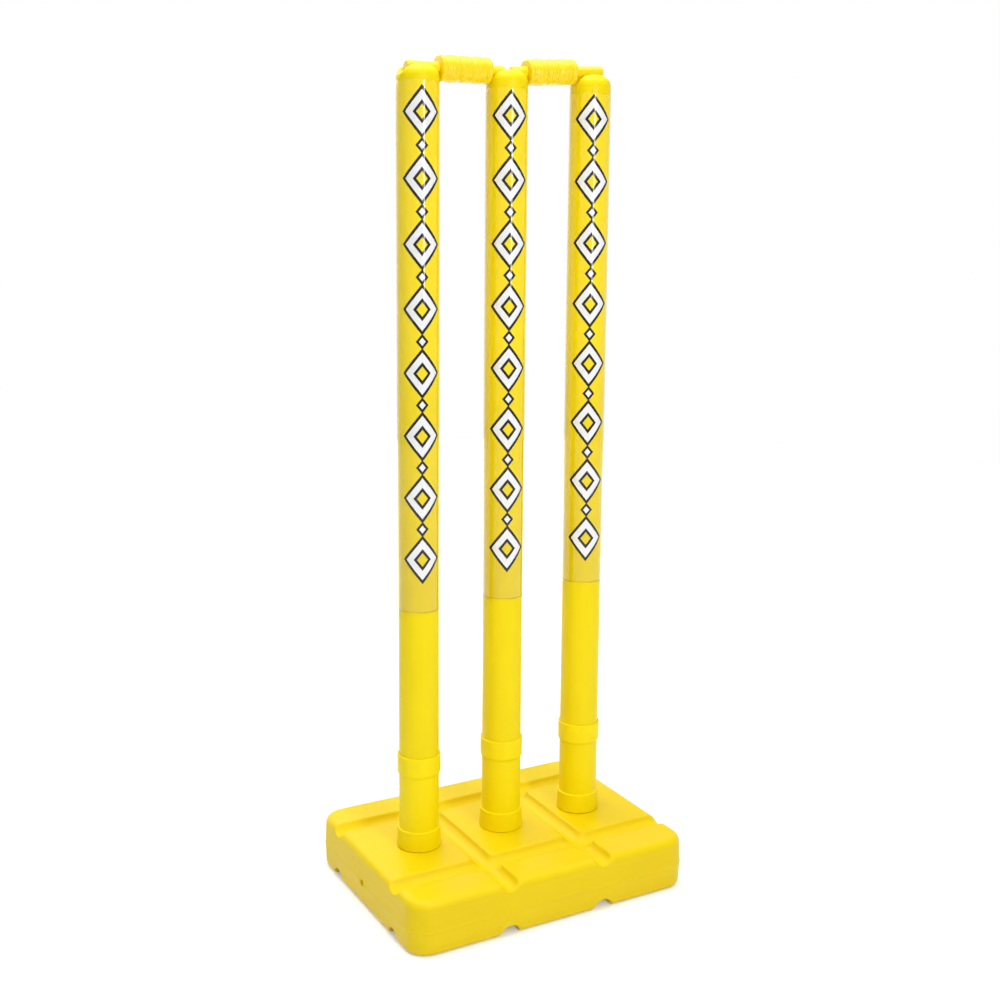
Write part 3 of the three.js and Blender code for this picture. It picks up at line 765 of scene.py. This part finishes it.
def barrel_radius(x):
    """The turned barrel: a bead, a broad bulge each side, end rings, narrow waists, fine lines."""
    off = abs(x)
    swells = [height * (1 - (abs(off - middle) / half) ** full)
              for middle, half, height, full in SWELLS if abs(off - middle) < half]
    lines = [height * np.exp(-(((off - place) / LINE_WIDTH) ** 2)) for place, height in FINE_LINES]
    into = max(off - (BARREL_HALF - RING_ROUND), 0)
    return (WAIST_RADIUS + max([0, *swells]) + sum(lines)
            - RING_ROUND + sqrt(RING_ROUND**2 - into**2))


def bail_shape():
    """A bail along X, its long spigot towards +X and the barrel's middle at 0."""
    right, left = BARREL_HALF + LONG_SPIGOT, -BARREL_HALF - SHORT_SPIGOT
    tip, root = SPIGOT_RADIUS - SPIGOT_ROUND, SPIGOT_RADIUS + SPIGOT_ROOT
    outline = [
        (0, left), *arc((tip, left + SPIGOT_ROUND), SPIGOT_ROUND, pi, pi / 2, TIP_STEPS),
        (SPIGOT_RADIUS, left + SPIGOT_STRAIGHT),
        *arc((root, -BARREL_HALF - SPIGOT_ROOT), SPIGOT_ROOT, -pi / 2, 0, ROOT_STEPS),
        *[(barrel_radius(x), x) for x in np.linspace(-BARREL_HALF, BARREL_HALF, BARREL_STATIONS)],
        *arc((root, BARREL_HALF + SPIGOT_ROOT), SPIGOT_ROOT, -pi, -pi / 2, ROOT_STEPS),
        (SPIGOT_RADIUS, right - SPIGOT_STRAIGHT),
        *arc((tip, right - SPIGOT_ROUND), SPIGOT_ROUND, pi / 2, 0, TIP_STEPS), (0, right)]
    points, faces, normals = turned(np.array(outline), BAIL_SEGMENTS, closed=False)
    lay_down = np.array(((0, 0, 1), (0, 1, 0), (-1, 0, 0))).T
    return points @ lay_down, faces, normals @ lay_down


def lay_bail(side, shape, turn, place, material):
    """Puts a bail in its place by a 3 by 3 turn and a shift."""
    points, faces, normals = shape
    turn = np.array(turn).T
    return new_piece(f"bail_{side}_turning", points @ turn + place, faces, normals @ turn, material)


# Studio
FLOOR_RADIUS, FLOOR_SIDES = 2.5, 96  # metres
# Metres from the middle where the floor's own glow starts to grow and where it is full, and its
# share before that
GLOW_FROM, GLOW_FULL, LEAST_GLOW = 0.3, 1.0, 0.25
FIBRE_SIZE, PAPER, FIBRES = 4, "#F6F6F6", "#F3F3F3"
# Each lamp: its place and the size of its face in metres, and its power in watts
LAMPS = {
    # Lights all the tops, with a very soft shadow under the set
    "overhead_softbox": ((0, -0.2, 2.7), (3.4, 3.4), 64),
    # Smaller, for the soft shade in the channels and below the rings and bails
    "overhead_lamp": ((-0.2, 0.2, 2.2), (0.7, 0.7), 13),
    # Brightens the left sides
    "left_softbox": ((-2.0, -0.6, 1.1), (1.4, 1.8), 3.0),
    # Brightens the base's front and the film
    "front_softbox": ((-0.9, -2.0, 1.2), (1.2, 1.2), 2.4),
    # Puts a broad band of light on the tubes and the film
    "front_window": ((0.05, -1.7, 0.85), (0.45, 0.7), 3.0),
    # Close and narrow, for the bright line down the film
    "front_strip": ((0.02, -0.85, 0.69), (0.08, 0.42), 2.4),
    # Brightens the backs and the rims
    "back_softbox": ((-0.3, 2.1, 1.6), (2.4, 1.5), 17),
}
SURROUND_LIGHT = 0.12  # how strongly the white surround lights the set
LAMP_TARGET = Vector((0, 0, 0.35))  # metres


def seen_directly(tree):
    """1 for the camera, for a mirror image and for a look through, and 0 for light on the set."""
    path = add(tree, "ShaderNodeLightPath")
    seen = add(tree, "ShaderNodeMath", {0: path["Is Camera Ray"], 1: path["Is Glossy Ray"]},
               operation="MAXIMUM")
    return add(tree, "ShaderNodeMath", {0: seen[0], 1: path["Is Transmission Ray"]},
               operation="MAXIMUM")[0]


def set_surround():
    """A plain white surround."""
    scene = bpy.context.scene
    scene.view_settings.view_transform = "Standard"
    scene.world = bpy.data.worlds.new("white_surround")
    scene.world.use_nodes = True
    tree = scene.world.node_tree
    tree.nodes.clear()
    strength = add(tree, "ShaderNodeMapRange", {
        "Value": seen_directly(tree), "To Min": SURROUND_LIGHT, "To Max": 1})
    white = add(tree, "ShaderNodeBackground", {"Color": (1, 1, 1, 1), "Strength": strength[0]})
    add(tree, "ShaderNodeOutputWorld", {"Surface": white[0]})


def backdrop_paper():
    """Matt backdrop paper: its fibres only just show, and are drawn coarser so that they do.

    It keeps the set's shadow, and away from the set it turns to plain white.
    """
    material, tree, where = new_finish("matt_backdrop_paper")
    fibres = add(tree, "ShaderNodeTexNoise", {"Vector": where, "Scale": 1 / (FIBRE_SIZE * MM)})
    tone = add(tree, "ShaderNodeMapRange", {
        "Value": fibres[0], "From Min": NOISE_LOW, "From Max": NOISE_HIGH})
    colour = add(tree, "ShaderNodeMix", {0: tone[0], 6: linear(PAPER), 7: linear(FIBRES)},
                 data_type="RGBA")
    matt = add(tree, "ShaderNodeBsdfDiffuse", {"Color": colour[2]})
    away = add(tree, "ShaderNodeVectorMath", {0: where}, operation="LENGTH")
    lift = add(tree, "ShaderNodeMapRange", {
        "Value": away["Value"], "From Min": GLOW_FROM, "From Max": GLOW_FULL,
        "To Min": LEAST_GLOW, "To Max": 1})
    glow = add(tree, "ShaderNodeMath", {0: seen_directly(tree), 1: lift[0]}, operation="MULTIPLY")
    white = add(tree, "ShaderNodeEmission", {"Strength": glow[0]})
    both = add(tree, "ShaderNodeAddShader", {0: matt[0], 1: white[0]})
    add(tree, "ShaderNodeOutputMaterial", {"Surface": both[0]})
    return material


def set_floor():
    """A round sheet of paper under the set."""
    mesh = bpy.data.meshes.new("floor")
    edge = [(FLOOR_RADIUS * cos(a), FLOOR_RADIUS * sin(a), 0)
            for a in np.linspace(0, 2 * pi, FLOOR_SIDES, endpoint=False)]
    mesh.from_pydata(edge, [], [list(range(len(edge)))])
    mesh.materials.append(backdrop_paper())
    floor = bpy.data.objects.new("floor", mesh)
    bpy.context.collection.objects.link(floor)


def set_lamps():
    """Soft lamps, all turned to the set's middle."""
    for name, (place, size, power) in LAMPS.items():
        face = bpy.data.lights.new(name, "AREA")
        face.shape, face.size, face.size_y, face.energy = "RECTANGLE", *size, power
        lamp = bpy.data.objects.new(name, face)
        lamp.location = place
        lamp.rotation_euler = (LAMP_TARGET - Vector(place)).to_track_quat("-Z", "Y").to_euler()
        bpy.context.collection.objects.link(lamp)


# Making it
set_camera()
base_plastic, foot_plastic, tube_plastic, bail_plastic = (
    solid_plastic(**PLASTICS[kind]) for kind in ("base", "foot", "tube", "bail"))
film = printed_film()

dress("base", build_base(base_plastic))
for side in STUMPS:
    dress(f"foot_{side}", build_foot(side, foot_plastic))
    dress(f"stump_{side}", build_stump(side, tube_plastic))
    low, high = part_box(f"sleeve_{side}")
    dress(f"sleeve_{side}", build_sleeve(side, low.z / MM, high.z / MM, film))

# The left bail lies level with its short spigot on the middle stump
shape = bail_shape()
turned_round = ((-1, 0, 0), (0, -1, 0), (0, 0, 1))
left_middle = (STUMPS["left"] / 2, 0, BAIL_AXIS)
dress("bail_left", lay_bail("left", shape, turned_round, left_middle, bail_plastic))

# The right one is raised at its outer end. That swings its barrel's lower edge outwards, so the
# bail is moved in by half as much.
tip_to_middle = BARREL_HALF + SHORT_SPIGOT
lean = asin(RIGHT_BAIL_RISE / (tip_to_middle + BARREL_HALF))
raised = ((cos(lean), 0, -sin(lean)), (0, 1, 0), (sin(lean), 0, cos(lean)))
seat = np.array((STUMPS["right"] / 2 - tip_to_middle - RING_RADIUS * sin(lean) / 2, 0, BAIL_AXIS))
right_middle = seat + tip_to_middle * np.array((cos(lean), 0, sin(lean)))
dress("bail_right", lay_bail("right", shape, raised, right_middle, bail_plastic))

set_surround()
set_floor()
set_lamps()
